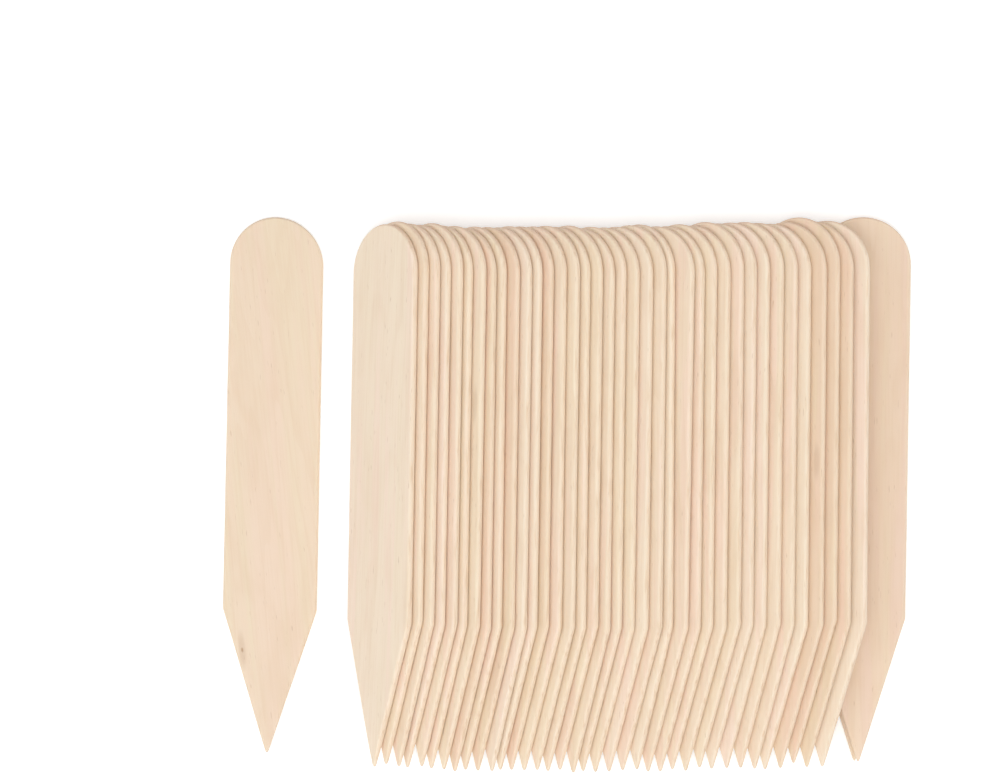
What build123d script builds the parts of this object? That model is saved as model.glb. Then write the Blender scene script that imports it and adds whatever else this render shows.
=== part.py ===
from build123d import *
from math import cos, pi, radians, sin
import os

# A pack of wooden plant label stakes. Each is a flat slip of hardwood with a round head for the
# name and a two-sided point for the soil. Most lean on each other in a row like fallen dominoes,
# left edge on the table and right edge raised. Two lie flat under the end of the row, and one
# lies by itself. X runs along the row, Y from the points to the heads, Z up.
# Lengths are in millimetres and angles in degrees.

# One stake
stake_length = 100.0
stake_width = 17.6
stake_thickness = 1.4
point_length = 27.0
tip_width = 0.7         # the point is cut slightly blunt
shoulder_radius = 2.0   # where a straight side turns into the point
edge_bevel = 0.30       # every edge is softened by tumbling

# The leaning row, steeper at its free end and flatter towards the pile
leaning_count = 37
first_tilt = 44.3
last_tilt = 33.8
tilt_ease = 1.7         # above 1, most of the change comes near the pile
pile_tilt = 32.0        # of the one stake that leans on the pile
face_gap = 0.02         # air between neighbours that lie as close as they can
face_gap_spread = 0.06  # extra air where a slip is a little bowed

# The pile of flat stakes under the end of the row
pile_count = 2
pile_gap = 0.04
pile_shift = 0.15       # each stake of the pile lies this much to the left of the one above
pile_lead = 0.65        # how much further headward the pile lies than the end of the row
pile_turn = 0.5         # its heads are turned away from the row by this much

# Unevenness of a row set down by hand
ride_most = 0.60        # how far a stake is wedged up in its own plane
slip_most = 0.80        # how far one is pushed along its own length, to either side
row_drift = 1.75        # the row's end lies this much further headward than its start
row_sag = 1.00          # its middle lies this much further footward than its ends

# The stake that lies by itself, left of the row
loose_gap = 5.5
loose_lead = 1.7        # how much further headward it lies than the first of the row

# One value for each leaning stake, from the free end to the pile
gap_shares = [
    0.3, 0.1, 0.4, 0.2, 0.0, 0.5, 0.1, 0.3, 0.2, 0.6,
    0.0, 0.3, 0.5, 0.2, 0.4, 0.1, 0.3, 0.0, 0.6, 0.2,
    0.4, 0.1, 1.0, 0.2, 0.3, 0.5, 0.1, 0.2, 0.4, 0.0,
    0.3, 0.6, 0.2, 0.4, 0.1, 0.3, 0.4,
]
ride_shares = [
    0.9, 0.8, 0.9, 0.6, 1.0, 0.3, 0.8, 0.6, 0.2, 0.6,
    0.8, 0.2, 0.0, 0.4, 0.9, 0.4, 0.4, 0.3, 0.0, 0.0,
    0.5, 1.0, 0.2, 1.0, 0.8, 0.5, 0.6, 0.9, 0.5, 0.3,
    0.5, 0.5, 0.2, 0.7, 0.3, 0.0, 0.1,
]
slip_shares = [
    -0.1, 0.6, 0.2, 0.0, 0.4, 0.0, -0.1, -0.5, -0.1, -0.2,
    -0.2, 0.1, 0.1, 0.1, 0.2, 0.0, 0.3, -0.3, 0.0, -0.2,
    -0.1, 0.2, 0.4, -0.2, -0.2, 0.2, -0.2, 0.5, 0.1, 0.2,
    0.2, -0.1, -0.4, -0.2, 0.8, -0.2, -0.2,
]

half_width = stake_width / 2
bevel_wall_share = 0.4  # a bevel takes no more than this of the wall it is cut into
bevel = min(edge_bevel, bevel_wall_share * stake_thickness, bevel_wall_share * tip_width)

# The corners of a stake's cross-section, measured from its lower left
section = [
    (bevel, 0),
    (0, bevel),
    (0, stake_thickness - bevel),
    (bevel, stake_thickness),
    (stake_width - bevel, stake_thickness),
    (stake_width, stake_thickness - bevel),
    (stake_width, bevel),
    (stake_width - bevel, 0),
]


def stake():
    # Left edge on the Y axis, tip at Y = 0, underside at Z = 0
    head_start = stake_length - half_width
    half_tip = tip_width / 2
    with BuildPart() as slip:
        with BuildSketch():
            with BuildLine():
                sides = Polyline(
                    (0, head_start),
                    (0, point_length),
                    (half_width - half_tip, 0),
                    (half_width + half_tip, 0),
                    (stake_width, point_length),
                    (stake_width, head_start),
                )
                ThreePointArc(sides @ 1, (half_width, stake_length), sides @ 0)
            make_face()
            shoulders = vertices().sort_by(Axis.Y)[2:4]
            fillet(shoulders, shoulder_radius)
        extrude(amount=stake_thickness)
        chamfer(faces().filter_by(Axis.Z).edges(), bevel)
    return slip.part


def turned(across, up, tilt):
    # A point of the cross-section once the stake leans by this tilt about its lower left edge
    lean = radians(tilt)
    return Vector(across * cos(lean) - up * sin(lean), 0, across * sin(lean) + up * cos(lean))


def table_height(tilt, ride):
    # The height of the section's origin when its lowest corner is on the table, or is wedged up
    # from it by the ride
    lowest = min(turned(across, up, tilt).Z for across, up in section)
    return turned(ride, 0, tilt).Z - lowest


def next_place(place, tilt, next_height, next_tilt, gap):
    # How far along the table the next stake's origin lies when the nearest corner of its section
    # is one gap away from this stake's underside
    down = turned(0, -1, tilt)
    nearest = min(turned(across, up, next_tilt).dot(down) for across, up in section)
    rise = next_height - place.Z
    return place.X + (gap - nearest - rise * down.Z) / down.X


def tilt_of(index):
    if index == leaning_count - 1:
        return pile_tilt
    along = index / (leaning_count - 2)
    return first_tilt - (first_tilt - last_tilt) * along**tilt_ease


def slip_of(index):
    along = index / leaning_count
    share = slip_shares[index % len(slip_shares)]
    return row_drift * along - row_sag * sin(pi * along) + slip_most * share


def leaning_row():
    # The place of each section's corner, with its tilt, from the free end to the pile
    row = []
    along_table = 0.0
    for index in range(leaning_count):
        tilt = tilt_of(index)
        ride = ride_most * ride_shares[index % len(ride_shares)]
        gap = face_gap + face_gap_spread * gap_shares[index % len(gap_shares)]
        height = table_height(tilt, ride)
        if row:
            before, before_tilt, before_gap = row[-1]
            along_table = next_place(before, before_tilt, height, tilt, before_gap)
        row.append((Vector(along_table, slip_of(index), height), tilt, gap))
    return row


def pile(row):
    # Flat stakes, the top one first. The last leaning stake rests on the top one's left edge. They
    # are turned about their left shoulders, which stay where that edge would be
    last, last_tilt, gap = row[-1]
    step = stake_thickness + pile_gap
    top_height = step * (pile_count - 1)
    left = next_place(last, last_tilt, top_height, 0, gap)
    shoulder = Vector(0, point_length, 0)
    turn = Location(shoulder, (0, 0, -pile_turn)) * Location(-shoulder)
    places = []
    for layer in range(pile_count):
        place = Vector(left - pile_shift * layer, row_drift + pile_lead, top_height - step * layer)
        places.append(Location(place) * turn)
    return places


# Every stake in its place
blank = stake()
row = leaning_row()
pieces = {}
for number, (place, tilt, gap) in enumerate(row, start=1):
    pieces[f"leaning_stake_{number:02d}"] = blank.moved(Location(place, (0, -tilt, 0)))
for number, place in enumerate(pile(row), start=1):
    pieces[f"flat_stake_{number}"] = blank.moved(place)
row_start = turned(0, stake_thickness, first_tilt).X
loose_place = Vector(row_start - loose_gap - stake_width, loose_lead, 0)
pieces["loose_stake"] = blank.moved(Location(loose_place))

# The origin is on the table, under the middle of the whole group
extent = Compound(list(pieces.values())).bounding_box()
to_origin = Location((-extent.center().X, -extent.center().Y, -extent.min.Z))

os.makedirs("parts", exist_ok=True)
for name, piece in pieces.items():
    placed = piece.moved(to_origin)
    placed.label = name
    export_step(placed, f"parts/{name}.step")

size = extent.size
print(f"{len(pieces)} stakes, {size.X:.2f} x {size.Y:.2f} x {size.Z:.2f} mm overall")
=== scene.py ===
import math
import random

import bpy
import numpy as np
from mathutils import Matrix, Vector


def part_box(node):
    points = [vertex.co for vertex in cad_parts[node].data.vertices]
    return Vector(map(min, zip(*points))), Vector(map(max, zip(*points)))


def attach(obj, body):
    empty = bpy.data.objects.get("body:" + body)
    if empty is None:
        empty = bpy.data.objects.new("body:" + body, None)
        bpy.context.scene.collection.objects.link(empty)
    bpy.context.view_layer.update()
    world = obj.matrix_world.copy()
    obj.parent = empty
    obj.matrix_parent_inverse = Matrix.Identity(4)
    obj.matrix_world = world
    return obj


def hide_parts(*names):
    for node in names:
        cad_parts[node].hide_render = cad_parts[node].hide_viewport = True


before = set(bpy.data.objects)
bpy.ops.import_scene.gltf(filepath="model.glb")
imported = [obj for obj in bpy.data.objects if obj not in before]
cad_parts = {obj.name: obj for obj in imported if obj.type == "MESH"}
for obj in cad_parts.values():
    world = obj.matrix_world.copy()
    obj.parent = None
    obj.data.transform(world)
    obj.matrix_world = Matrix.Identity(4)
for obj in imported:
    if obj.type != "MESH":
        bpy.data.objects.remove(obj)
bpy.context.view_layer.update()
mm = 0.001
print("frame loaded:", len(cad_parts), "stakes")


# Small helpers

def srgb(hexColour):
    # sRGB hex to the linear colour that the nodes work in
    parts = [int(hexColour[i:i + 2], 16) / 255 for i in (1, 3, 5)]
    linear = [c / 12.92 if c <= 0.04045 else ((c + 0.055) / 1.055) ** 2.4 for c in parts]
    return (*linear, 1.0)


def addNode(tree, kind, settings=None, **links):
    # one node: its properties, then its inputs, each as a socket to link or a plain value. An input
    # is given by its name, with _ for a space, or by _ and its number
    node = tree.nodes.new(kind)
    for name, value in (settings or {}).items():
        setattr(node, name, value)
    for name, value in links.items():
        number = name[1:]
        socket = node.inputs[int(number) if number.isdigit() else name.replace("_", " ")]
        if isinstance(value, bpy.types.NodeSocket):
            tree.links.new(value, socket)
        else:
            socket.default_value = value
    return node


def choose(kind, test):
    # in edit mode, selects only the vertices or the edges whose points all pass the test
    bpy.ops.mesh.select_mode(type=kind)
    bpy.ops.mesh.select_all(action="DESELECT")
    bpy.ops.object.mode_set(mode="OBJECT")
    mesh = bpy.context.object.data
    for part in mesh.vertices if kind == "VERT" else mesh.edges:
        ends = [part.index] if kind == "VERT" else part.vertices
        part.select = all(test(mesh.vertices[end].co) for end in ends)
    bpy.ops.object.mode_set(mode="EDIT")


def chooseBroadFaces():
    # in edit mode, selects only the upper and the lower face of a slip
    bpy.ops.mesh.select_mode(type="FACE")
    bpy.ops.mesh.select_all(action="DESELECT")
    bpy.ops.object.mode_set(mode="OBJECT")
    faces = bpy.context.object.data.polygons
    largest = max(face.area for face in faces)
    for face in faces:
        face.select = face.area > largest / 2
    bpy.ops.object.mode_set(mode="EDIT")


def chooseOnly(thing):
    bpy.ops.object.select_all(action="DESELECT")
    thing.select_set(True)
    bpy.context.view_layer.objects.active = thing


def points(mesh):
    # a copy of all the vertex places, one row each
    places = np.empty(len(mesh.vertices) * 3)
    mesh.vertices.foreach_get("co", places)
    return places.reshape(-1, 3)


# The blank: one slip, modelled once, tip at Y 0, underside at Z 0, middle at X 0. Sizes in mm

blankShape = {
    "headSides": 64,
    "pointLength": 27.0,
    "tipWidth": 0.42,          # worn narrower than it was cut
    "wideTip": 1.7,            # as modelled, wide enough for the rounding, before it is squeezed
    "tipSteps": 6,
    "tipCutMost": 0.95,        # no more of half the wide tip than this goes into its rounding
    "shoulderRadius": 2.0,
    "shoulderSteps": 4,
    "edgeRounding": 0.58,      # tumbling leaves the edges almost half round
    "roundingSteps": 6,
    "flatBand": 0.08,          # a narrow loop beside the rounding keeps the broad faces flat
    "sliceLength": 1.0,        # short slices, so that the wood can wander
    "lanesAcross": 6,
    "leftShoulderDrop": 0.35, "rightShoulderDrop": 0.75,    # the die stands a little askew
    "thinLength": 7.0, "thinShare": 0.50,                   # the end of the point is worn thin
    "smoothAngle": 50.0,       # degrees
}

looseLow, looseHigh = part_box("loose_stake")
stakeWidth = looseHigh.x - looseLow.x
stakeLength = looseHigh.y - looseLow.y
stakeThickness = looseHigh.z - looseLow.z
shoulder = blankShape["pointLength"] * mm
wideTipHalf = blankShape["wideTip"] * mm / 2
near = 1e-6


def drawOutline():
    # a flat face with the outline of a slip, its tip wider than it will be
    half = stakeWidth / 2
    headMiddle = stakeLength - half
    bpy.ops.object.select_all(action="DESELECT")

    # the round head is half a disc
    bpy.ops.mesh.primitive_circle_add(
        vertices=blankShape["headSides"], radius=half, fill_type="NGON",
        location=(0, headMiddle, 0), enter_editmode=True)
    bpy.ops.object.mode_set(mode="OBJECT")
    bpy.ops.object.transform_apply(location=True, rotation=True, scale=True)
    bpy.ops.object.mode_set(mode="EDIT")
    bpy.ops.mesh.select_all(action="SELECT")
    bpy.ops.mesh.bisect(plane_co=(0, headMiddle, 0), plane_no=(0, 1, 0), clear_inner=True)

    # the straight sides and the point are drawn out of its flat edge
    choose("EDGE", lambda p: abs(p.y - headMiddle) < near)
    bpy.ops.mesh.extrude_region_move(TRANSFORM_OT_translate={"value": (0, shoulder - headMiddle, 0)})
    bpy.ops.mesh.extrude_region_move(TRANSFORM_OT_translate={"value": (0, -shoulder, 0)})
    bpy.ops.transform.resize(value=(wideTipHalf / half, 1, 1), center_override=(0, 0, 0))
    bpy.ops.mesh.select_all(action="SELECT")
    bpy.ops.mesh.remove_doubles(threshold=near)
    bpy.ops.mesh.select_mode(type="FACE")
    bpy.ops.mesh.select_all(action="SELECT")
    bpy.ops.mesh.dissolve_faces()

    # the shoulders and the tip's corners are rounded
    slope = math.atan((half - wideTipHalf) / shoulder)
    shoulderCut = blankShape["shoulderRadius"] * mm * math.tan(slope / 2)
    choose("VERT", lambda p: abs(p.y - shoulder) < near)
    bpy.ops.mesh.bevel(offset=shoulderCut, segments=blankShape["shoulderSteps"], affect="VERTICES")
    tipRadius = (blankShape["edgeRounding"] + 2 * blankShape["flatBand"]) * mm
    tipCut = min(tipRadius * math.tan((math.pi / 2 - slope) / 2), blankShape["tipCutMost"] * wideTipHalf)
    choose("VERT", lambda p: abs(p.y) < near)
    bpy.ops.mesh.bevel(offset=tipCut, segments=blankShape["tipSteps"], affect="VERTICES")


def giveThickness():
    # the outline becomes a slip, and both its rims are rounded
    bpy.ops.mesh.select_all(action="SELECT")
    bpy.ops.mesh.extrude_region_move(TRANSFORM_OT_translate={"value": (0, 0, stakeThickness)})
    bpy.ops.mesh.select_all(action="SELECT")
    bpy.ops.mesh.normals_make_consistent(inside=False)
    chooseBroadFaces()
    bpy.ops.mesh.region_to_loop()
    bpy.ops.mesh.bevel(offset=blankShape["edgeRounding"] * mm, segments=blankShape["roundingSteps"],
                       affect="EDGES")
    chooseBroadFaces()
    bpy.ops.mesh.inset(thickness=blankShape["flatBand"] * mm)


def cutSlices():
    # slices along it and lanes across it, for the wear to move
    slices = round(stakeLength / (blankShape["sliceLength"] * mm))
    for number in range(1, slices):
        bpy.ops.mesh.select_all(action="SELECT")
        bpy.ops.mesh.bisect(plane_co=(0, stakeLength * number / slices, 0), plane_no=(0, 1, 0))
    lanes = blankShape["lanesAcross"]
    for number in range(1, lanes):
        across = stakeWidth / 2 * (2 * number / lanes - 1)
        bpy.ops.mesh.select_all(action="SELECT")
        bpy.ops.mesh.bisect(plane_co=(across, 0, 0), plane_no=(1, 0, 0))
    bpy.ops.mesh.select_all(action="SELECT")
    bpy.ops.mesh.remove_doubles(threshold=near)


def shapePoint(mesh):
    # the point is squeezed to its real width, its end is worn thin and the shoulders drop
    places = points(mesh)
    half = stakeWidth / 2
    tipHalf = blankShape["tipWidth"] * mm / 2
    toShoulder = np.clip(places[:, 1] / shoulder, 0, 1)
    reach = tipHalf + (half - tipHalf) * toShoulder
    places[:, 0] *= reach / (wideTipHalf + (half - wideTipHalf) * toShoulder)

    middle = stakeThickness / 2
    thin = np.clip(places[:, 1] / (blankShape["thinLength"] * mm), 0, 1)
    thin = blankShape["thinShare"] + (1 - blankShape["thinShare"]) * thin * (2 - thin)
    places[:, 2] = middle + (places[:, 2] - middle) * thin

    toRight = np.clip(places[:, 0] / reach, -1, 1) / 2 + 0.5
    drop = blankShape["leftShoulderDrop"] * (1 - toRight) + blankShape["rightShoulderDrop"] * toRight
    places[:, 1] -= drop * mm * np.clip(1 - abs(places[:, 1] / shoulder - 1), 0, 1)
    mesh.vertices.foreach_set("co", places.ravel())


def markWood(blank):
    # where each point lies in the wood, how far it belongs to a cut edge, and how far to the end grain
    mesh = blank.data
    normals = np.array([vertex.normal for vertex in mesh.vertices])
    wall = np.hypot(normals[:, 0], normals[:, 1])
    mesh.attributes.new("grain", "FLOAT_VECTOR", "POINT").data.foreach_set("vector", points(mesh).ravel())
    mesh.attributes.new("wall", "FLOAT", "POINT").data.foreach_set("value", wall)
    mesh.attributes.new("endGrain", "FLOAT", "POINT").data.foreach_set("value", np.abs(normals[:, 1]))
    rim = blank.vertex_groups.new(name="rim")
    broad = blank.vertex_groups.new(name="broad")
    for index, share in enumerate(wall):
        rim.add([index], float(share), "REPLACE")
        broad.add([index], float(1 - share), "REPLACE")


def modelBlank():
    drawOutline()
    blank = bpy.context.object
    blank.name = "stakeBlank"
    giveThickness()
    cutSlices()
    bpy.ops.object.mode_set(mode="OBJECT")
    shapePoint(blank.data)
    bpy.ops.object.shade_smooth_by_angle(angle=math.radians(blankShape["smoothAngle"]))
    markWood(blank)
    return blank


blank = modelBlank()
print("blank modelled:", len(blank.data.polygons), "faces")


# The veneer: birch, peeled off the log in a long ribbon, die-cut and tumbled smooth. To the eye it
# is matt and creamy, with soft lengthwise streaks, hair-fine fibres and short brown pores. The cut
# edges are a little warmer and paler, partly their own colour and partly a painted highlight, and the end
# grain at head and point drinks the light

birch = {
    # patterns drawn out along the fibres, in mm. The fibres and pores are drawn coarser than real
    # ones, which are too fine to show
    "streak": {"across": 3.2, "along": 75.0, "detail": 2.5, "wander": 0.25},
    "figure": {"across": 7.0, "along": 95.0, "detail": 1.5, "wander": 0.3},
    "growthLines": 7.0,
    "cloud": {"across": 4.0, "along": 15.0, "detail": 2.0, "wander": 0.6},
    "fibre": {"across": 0.34, "along": 13.0, "detail": 3.0},
    "pore": {"across": 0.24, "along": 2.6, "detail": 1.0},
    "crush": {"across": 0.5, "along": 6.0, "detail": 2.0},         # fibres that the die crushed
    "knotHalo": {"across": 0.95, "along": 4.5, "deep": 1000.0},    # half sizes of a knot's tanned
    "knotHeart": {"across": 0.32, "along": 0.65, "deep": 8.0},     # wood and of its brown heart

    # each stain: where in its pattern it starts, where it is full, and how strong it is there
    "rosyStain": (0.50, 0.62, 1.0),
    "butteryStain": (0.49, 0.37, 1.0),
    "growthStain": (0.60, 1.0),         # how strong these two are is in the looks
    "cloudStain": (0.45, 0.74),
    "fibreStain": (0.42, 0.68, 0.17),
    "poreStain": (0.70, 0.80, 0.34),
    "haloStain": (1.0, 0.3, 0.22),
    "heartStain": (1.0, 0.3, 0.70),
    # the cut walls' stain: partly their own warmer colour, partly a painted highlight on the rims
    "cutEdgeAndHighlightStain": (0.55, 1.0, 0.70),
    "crushStain": (0.48, 0.75, 0.8),    # as strong as this on the walls alone
    "endGrainStain": (0.2, 1.0, 0.75),

    # the surface: fibres stand proud by this many mm, and pores are hollow by a share of it
    "fibreHeight": 0.012, "poreDepth": 0.408, "reliefShare": 0.5,
    "roughness": (0.3, 0.8, 0.60, 0.74),    # where in the fibres it rises, its least and its most
    "ior": 1.53, "specular": 0.35,
    "glowDepth": 0.8,                       # mm that light seeps through the wood, red the furthest
    "glowColour": (1.0, 0.98, 0.95),
}


def birchVeneer(name, look):
    finish = bpy.data.materials.new(name)
    finish.use_nodes = True
    tree = finish.node_tree
    tree.nodes.clear()
    place = addNode(tree, "ShaderNodeAttribute", {"attribute_name": "grain"}).outputs["Vector"]
    wall = addNode(tree, "ShaderNodeAttribute", {"attribute_name": "wall"}).outputs["Fac"]
    endGrain = addNode(tree, "ShaderNodeAttribute", {"attribute_name": "endGrain"}).outputs["Fac"]

    def alongGrain(across, along, detail, wander=0.0):
        # noise drawn out along the fibres
        stretch = (1 / (across * mm), 1 / (along * mm), 1 / (across * mm))
        where = addNode(tree, "ShaderNodeVectorMath", {"operation": "MULTIPLY"}, _0=place, _1=stretch)
        made = addNode(tree, "ShaderNodeTexNoise", Vector=where.outputs["Vector"], Scale=1.0,
                       Detail=detail, Distortion=wander)
        return made.outputs["Fac"]

    def fromKnot(across, along, deep):
        # 0 at the place where the slip has its knot, 1 on an ellipse round it
        stretch = (1 / (across * mm), 1 / (along * mm), 1 / (deep * mm))
        where = addNode(tree, "ShaderNodeVectorMath", {"operation": "MULTIPLY"}, _0=place, _1=stretch)
        reach = addNode(tree, "ShaderNodeVectorMath", {"operation": "LENGTH"}, _0=where.outputs["Vector"])
        return reach.outputs["Value"]

    def stained(colour, hexColour, value, start, full, share):
        # the wood takes another colour as the value goes from start to full
        amount = addNode(tree, "ShaderNodeMapRange", {"interpolation_type": "SMOOTHSTEP"},
                         _0=value, _1=start, _2=full, _3=0.0, _4=share)
        mixed = addNode(tree, "ShaderNodeMix", {"data_type": "RGBA"},
                        _0=amount.outputs["Result"], _6=colour, _7=srgb(hexColour))
        return mixed.outputs[2]

    # sapwood in soft streaks of three near tones
    streak = alongGrain(**birch["streak"])
    colour = stained(srgb(look["sapwood"]), look["rosy"], streak, *birch["rosyStain"])
    colour = stained(colour, look["buttery"], streak, *birch["butteryStain"])

    # growth lines show as faint wandering contours, because the knife peeled round the log
    figure = alongGrain(**birch["figure"])
    lines = addNode(tree, "ShaderNodeMath", {"operation": "MULTIPLY"}, _0=figure, _1=birch["growthLines"])
    lines = addNode(tree, "ShaderNodeMath", {"operation": "FRACT"}, _0=lines.outputs[0]).outputs[0]
    colour = stained(colour, look["lateWood"], lines, *birch["growthStain"], look["growthShare"])

    cloud = alongGrain(**birch["cloud"])
    colour = stained(colour, look["lateWood"], cloud, *birch["cloudStain"], look["cloudShare"])

    fibre = alongGrain(**birch["fibre"])
    colour = stained(colour, look["lateWood"], fibre, *birch["fibreStain"])

    # pores: short dashes, only where the noise peaks
    pore = alongGrain(**birch["pore"])
    colour = stained(colour, look["pore"], pore, *birch["poreStain"])

    # a knot, where the slip has one: its heart only shows in a slip cut through it
    colour = stained(colour, look["pore"], fromKnot(**birch["knotHalo"]), *birch["haloStain"])
    colour = stained(colour, look["pore"], fromKnot(**birch["knotHeart"]), *birch["heartStain"])

    # the walls that the die cut, warmer and paler: partly their own colour, partly a painted highlight;
    # and the end grain
    colour = stained(colour, look["cutEdgeAndHighlight"], wall, *birch["cutEdgeAndHighlightStain"])
    crush = alongGrain(**birch["crush"])
    start, full, share = birch["crushStain"]
    onWall = addNode(tree, "ShaderNodeMath", {"operation": "MULTIPLY"}, _0=wall, _1=share)
    colour = stained(colour, look["lateWood"], crush, start, full, onWall.outputs[0])
    colour = stained(colour, look["endGrain"], endGrain, *birch["endGrainStain"])

    # the fine relief of fibres and pores
    start, full = birch["poreStain"][:2]
    hollow = addNode(tree, "ShaderNodeMapRange", {"interpolation_type": "SMOOTHSTEP"},
                     _0=pore, _1=start, _2=full, _3=0.0, _4=-birch["poreDepth"])
    height = addNode(tree, "ShaderNodeMath", {"operation": "ADD"},
                     _0=fibre, _1=hollow.outputs["Result"])
    relief = addNode(tree, "ShaderNodeBump", Height=height.outputs[0], Strength=birch["reliefShare"],
                     Distance=birch["fibreHeight"] * mm)
    start, full, least, most = birch["roughness"]
    roughness = addNode(tree, "ShaderNodeMapRange", {"interpolation_type": "SMOOTHSTEP"},
                        _0=fibre, _1=start, _2=full, _3=least, _4=most)

    shader = addNode(tree, "ShaderNodeBsdfPrincipled", Base_Color=colour,
                     Roughness=roughness.outputs["Result"], Normal=relief.outputs["Normal"],
                     IOR=birch["ior"], Specular_IOR_Level=birch["specular"],
                     Subsurface_Weight=look["glowShare"], Subsurface_Radius=birch["glowColour"],
                     Subsurface_Scale=birch["glowDepth"] * mm)
    addNode(tree, "ShaderNodeOutputMaterial", Surface=shader.outputs["BSDF"])
    return finish


# the cut-edge colour is paler than the sapwood: the walls' own warmer tone plus a painted highlight
commonLook = {
    "lateWood": "#E2C8AA", "pore": "#B08A66", "cutEdgeAndHighlight": "#F5E1C9", "endGrain": "#D6B49B",
    "growthShare": 0.16, "cloudShare": 0.26, "glowShare": 0.40,
}
veneers = {
    "cream": birchVeneer("birchVeneerCream", {
        **commonLook, "sapwood": "#F2E0C9", "rosy": "#F4DDC9", "buttery": "#F2E1C8"}),
    "pale": birchVeneer("birchVeneerPale", {
        **commonLook, "sapwood": "#F3E2CD", "rosy": "#F5E0CE", "buttery": "#F3E3CD",
        "growthShare": 0.10, "cloudShare": 0.16}),
    "tan": birchVeneer("birchVeneerTan", {
        **commonLook, "sapwood": "#EDD6BD", "rosy": "#EFD4BD", "buttery": "#ECD8BC"}),
    "straw": birchVeneer("birchVeneerStraw", {
        **commonLook, "sapwood": "#EDD9C2", "rosy": "#EED8C3", "buttery": "#ECDAC1",
        "endGrain": "#CDB59E"}),
    "rosy": birchVeneer("birchVeneerRosy", {
        **commonLook, "sapwood": "#EED8C1", "rosy": "#EED6C2", "buttery": "#EDD9C0"}),
}
print("veneers mixed:", len(veneers))


# The stakes, each a copy of the blank. Lengths in mm, slants in degrees. The leaning ones are
# numbered from the free end of the row

usualStake = {
    "tone": "cream",
    "pointAskew": 0.0,       # how far the point stands to the right
    "sideAskew": 0.0,        # how far the right side does, up at the head
    "headDrop": 0.8,         # how much lower the right side of the head is cut
}
# a knot's numbers: right of the middle, up from the tip, and how far beside its heart the cut is
ownTraits = {
    "leaningStake01": {"tone": "pale", "pointAskew": -0.6},
    "leaningStake02": {"pointAskew": -0.4},
    "leaningStake04": {"tone": "pale", "pointAskew": -0.6},
    "leaningStake07": {"sideAskew": 0.25, "knot": (7.4, 67.0, 40.0)},
    "leaningStake08": {"tone": "tan"},
    "leaningStake09": {"sideAskew": -0.2},
    "leaningStake10": {"tone": "tan"},
    "leaningStake11": {"tone": "pale", "pointAskew": 0.5},
    "leaningStake12": {"tone": "pale"},
    "leaningStake13": {"tone": "tan"},
    "leaningStake16": {"sideAskew": -0.15},
    "leaningStake18": {"pointAskew": 0.4},
    "leaningStake20": {"sideAskew": 0.2},
    "leaningStake21": {"tone": "pale", "sideAskew": 0.15},
    "leaningStake23": {"tone": "pale", "pointAskew": 0.9, "sideAskew": -0.6},
    "leaningStake24": {"sideAskew": 0.6},
    "leaningStake28": {"sideAskew": -0.15},
    "leaningStake29": {"tone": "pale"},
    "leaningStake30": {"tone": "pale", "pointAskew": 0.5},
    "leaningStake31": {"pointAskew": 0.5},
    "leaningStake32": {"pointAskew": 0.6},
    "leaningStake33": {"tone": "pale"},
    "leaningStake34": {"tone": "tan", "knot": (7.5, 56.0, 60.0)},
    "leaningStake35": {"tone": "tan"},
    "leaningStake36": {"tone": "tan"},
    "leaningStake37": {"tone": "pale"},
    "flatStakeUpper": {"tone": "rosy", "pointAskew": 0.65, "headDrop": 0.0},
    "flatStakeLower": {"tone": "rosy", "pointAskew": 0.2, "headDrop": 0.0},
    "looseStake": {"tone": "straw", "grainSlant": 7.0, "knot": (-4.9, 18.9, 0.0)},
}


grainCut = {
    "slantMost": 1.5,        # of the stakes that have no slant of their own
    "starts": ((200.0, 2000.0), (200.0, 2000.0), (0.0, 2000.0)),    # well away from a knot
}
wear = {
    "faceWorn": 0.13,        # the most that a face lies below its nominal plane
    "facePatch": 24.0,
    "rimWorn": 0.06,
    "rimPatch": 8.0,
    "patchStep": 300.0,      # each stake is worn this much further on in the same noise
}


def grainOf(places, own, draw):
    # where the slip was cut from the wood: a little aslant, and through a knot if it has one
    drawnSlant = draw.uniform(-grainCut["slantMost"], grainCut["slantMost"])
    slant = math.tan(math.radians(own.get("grainSlant", drawnSlant)))
    cutFrom = places.copy()
    cutFrom[:, 0] += places[:, 1] * slant
    if "knot" in own:
        right, above, beside = (length * mm for length in own["knot"])
        return cutFrom + [-right - above * slant, -above, beside]
    return cutFrom + [draw.uniform(least * mm, most * mm) for least, most in grainCut["starts"]]


def wearDown(stake, name, depth, patch, group):
    # a Displace modifier that only takes wood away
    texture = bpy.data.textures.new(name, "CLOUDS")
    texture.noise_scale = patch * mm
    texture.noise_depth = 1
    bpy.ops.object.modifier_add(type="DISPLACE")
    modifier = stake.modifiers[-1]
    modifier.texture = texture
    modifier.texture_coords = "GLOBAL"
    modifier.direction = "NORMAL"
    modifier.mid_level = 0.0
    modifier.strength = -depth * mm
    modifier.vertex_group = group
    bpy.ops.object.modifier_apply(modifier=modifier.name)
    bpy.data.textures.remove(texture)


def placeOf(nodeName):
    # from the blank's own frame to where the CAD's stake lies
    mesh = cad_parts[nodeName].data
    faces = sorted(mesh.polygons, key=lambda face: -face.area)
    squareEnough = 0.1
    up = faces[0].normal * math.copysign(1, faces[0].normal.z)
    side = next(face.normal for face in faces if abs(face.normal.dot(up)) < squareEnough)
    across = side * math.copysign(1, side.x)
    along = up.cross(across)
    corner = [min(vertex.co.dot(axis) for vertex in mesh.vertices) for axis in (across, along, up)]
    origin = across * (corner[0] + stakeWidth / 2) + along * corner[1] + up * corner[2]
    return Matrix.Translation(origin) @ Matrix((across, along, up)).transposed().to_4x4()


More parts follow.
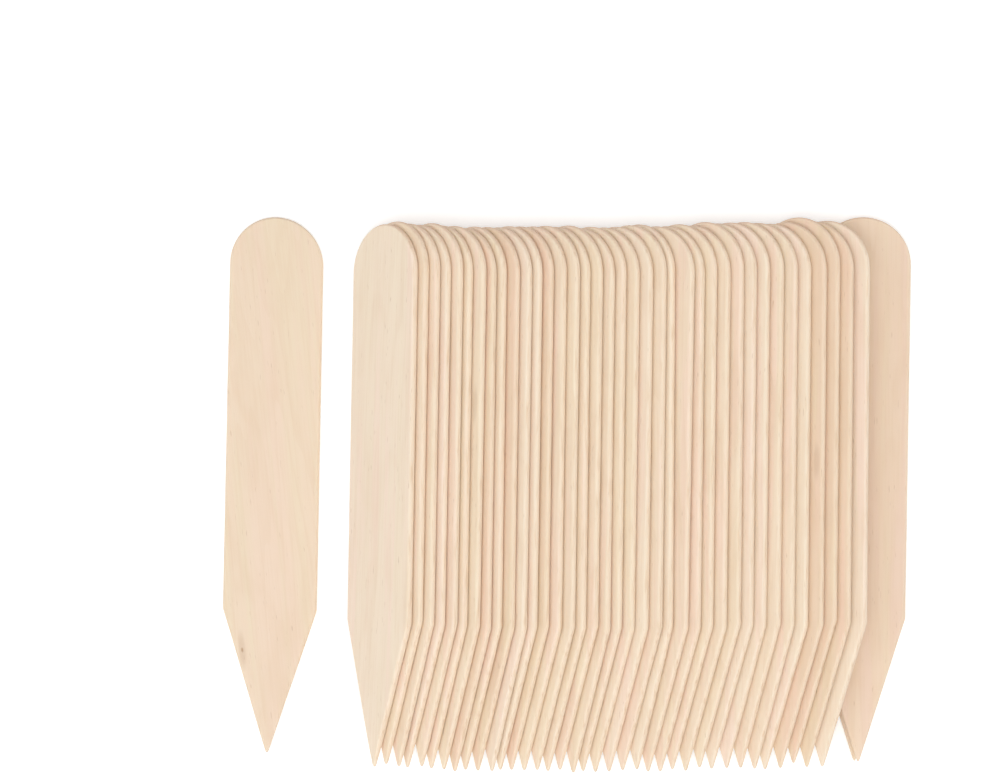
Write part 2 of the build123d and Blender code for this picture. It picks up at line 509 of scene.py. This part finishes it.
def layStake(nodeName, pieceName, number):
    own = {**usualStake, **ownTraits.get(pieceName, {})}
    chooseOnly(blank)
    bpy.ops.object.duplicate(linked=False)
    stake = bpy.context.object
    stake.name = stake.data.name = pieceName
    places = points(stake.data)
    grain = grainOf(places, own, random.Random(number))
    stake.data.attributes["grain"].data.foreach_set("vector", grain.ravel())

    toTip = np.clip(1 - places[:, 1] / shoulder, 0, 1)
    toHead = np.clip((places[:, 1] - shoulder) / (stakeLength - shoulder), 0, 1)
    toRight = places[:, 0] / stakeWidth + 0.5
    places[:, 0] += (own["pointAskew"] * toTip + own["sideAskew"] * toHead * toRight) * mm
    places[:, 1] -= own["headDrop"] * toHead * toRight ** 2 * mm
    stake.data.vertices.foreach_set("co", places.ravel())

    stake.location = (number * wear["patchStep"] * mm, 0, 0)
    wearDown(stake, "faceWear", wear["faceWorn"], wear["facePatch"], "broad")
    wearDown(stake, "rimWear", wear["rimWorn"], wear["rimPatch"], "rim")
    stake.vertex_groups.clear()
    stake.location = (0, 0, 0)
    stake.matrix_world = placeOf(nodeName)
    bpy.ops.object.transform_apply(location=True, rotation=True, scale=True)
    stake.data.materials.append(veneers[own["tone"]])
    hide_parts(nodeName)
    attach(stake, nodeName)


leaningCount = sum(name.startswith("leaning_stake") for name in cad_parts)
for number in range(1, leaningCount + 1):
    layStake(f"leaning_stake_{number:02d}", f"leaningStake{number:02d}", number)
layStake("flat_stake_1", "flatStakeUpper", leaningCount + 1)
layStake("flat_stake_2", "flatStakeLower", leaningCount + 2)
layStake("loose_stake", "looseStake", leaningCount + 3)
bpy.data.objects.remove(blank)
print("stakes laid:", len(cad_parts))


# The table is thick uncoated card, matt and nearly white. Sizes in metres

studioTable = {
    "half": 3.0,
    "colour": "#FAFAFA",
    "lift": 0.28,            # only for what the camera sees, so that the table reads white
}


def seenDirectly(tree):
    # 1 for what the camera sees, also in gloss and through glass, and 0 for what lights the object
    path = addNode(tree, "ShaderNodeLightPath")
    seen = addNode(tree, "ShaderNodeMath", {"operation": "MAXIMUM"},
                   _0=path.outputs["Is Camera Ray"], _1=path.outputs["Is Glossy Ray"])
    seen = addNode(tree, "ShaderNodeMath", {"operation": "MAXIMUM"},
                   _0=seen.outputs[0], _1=path.outputs["Is Transmission Ray"])
    return seen.outputs[0]


def layTable():
    bpy.ops.object.select_all(action="DESELECT")
    bpy.ops.mesh.primitive_plane_add(size=2 * studioTable["half"], location=(0, 0, 0))
    table = bpy.context.object
    table.name = "studioTable"
    paper = bpy.data.materials.new("mattPaper")
    paper.use_nodes = True
    tree = paper.node_tree
    tree.nodes.clear()
    matt = addNode(tree, "ShaderNodeBsdfDiffuse", Color=srgb(studioTable["colour"]))
    lift = addNode(tree, "ShaderNodeMath", {"operation": "MULTIPLY"},
                   _0=seenDirectly(tree), _1=studioTable["lift"])
    glow = addNode(tree, "ShaderNodeEmission", Strength=lift.outputs[0])
    both = addNode(tree, "ShaderNodeAddShader", _0=matt.outputs["BSDF"], _1=glow.outputs["Emission"])
    addNode(tree, "ShaderNodeOutputMaterial", Surface=both.outputs["Shader"])
    table.data.materials.append(paper)


# The light: a white tent and three soft lamps round the set. Sizes in metres

lightTent = {
    "strength": 0.625,       # what lights the object
    "seen": 1.0,             # what the camera sees, a plain white
}
softLamps = {
    "size": 0.6,
    "distance": 1.0,
    "places": {              # turn and height above the table in degrees, and power
        "leftSoftLamp": (200.0, 50.0, 1.05),
        "rightSoftLamp": (-25.0, 50.0, 0.70),
        "topSoftLamp": (-90.0, 74.0, 3.3),
    },
}


def putUpTent():
    world = bpy.data.worlds.new("lightTent")
    bpy.context.scene.world = world
    world.use_nodes = True
    tree = world.node_tree
    tree.nodes.clear()
    strength = addNode(tree, "ShaderNodeMapRange",
                       _0=seenDirectly(tree), _3=lightTent["strength"], _4=lightTent["seen"])
    sky = addNode(tree, "ShaderNodeBackground", Color=(1, 1, 1, 1), Strength=strength.outputs["Result"])
    addNode(tree, "ShaderNodeOutputWorld", Surface=sky.outputs["Background"])


def hangLamps():
    for name, (turn, height, power) in softLamps["places"].items():
        turn, height = math.radians(turn), math.radians(height)
        level = math.cos(height)
        towards = Vector((math.cos(turn) * level, math.sin(turn) * level, math.sin(height)))
        bpy.ops.object.light_add(type="AREA", location=towards * softLamps["distance"])
        lamp = bpy.context.object
        lamp.name = name
        lamp.data.energy = power
        lamp.data.size = softLamps["size"]
        lamp.rotation_euler = (-towards).to_track_quat("-Z", "Y").to_euler()


# The camera looks almost straight down from a little over half a metre, turned by a few degrees as
# one on a hand-set tripod is. Place, lens and clipping in mm, turns in radians

shot = {
    "place": (20.1, -12.15, 543.8),
    "pitch": 0.058, "yaw": 0.0595, "roll": 0.0122,
    "lens": 105.5, "sensor": 36.0,
    "clipStart": 10.0,
}


def setCamera():
    camera = bpy.data.objects.new("camera", bpy.data.cameras.new("camera"))
    bpy.context.scene.collection.objects.link(camera)
    camera.data.sensor_width = shot["sensor"]
    camera.data.lens = shot["lens"]
    camera.data.clip_start = shot["clipStart"] * mm
    turn = (Matrix.Rotation(shot["pitch"], 4, "X") @ Matrix.Rotation(shot["yaw"], 4, "Y")
            @ Matrix.Rotation(shot["roll"], 4, "Z"))
    camera.matrix_world = Matrix.Translation(Vector(shot["place"]) * mm) @ turn
    bpy.context.scene.camera = camera


layTable()
putUpTent()
hangLamps()
setCamera()
bpy.context.scene.view_settings.view_transform = "Standard"
print("studio set")
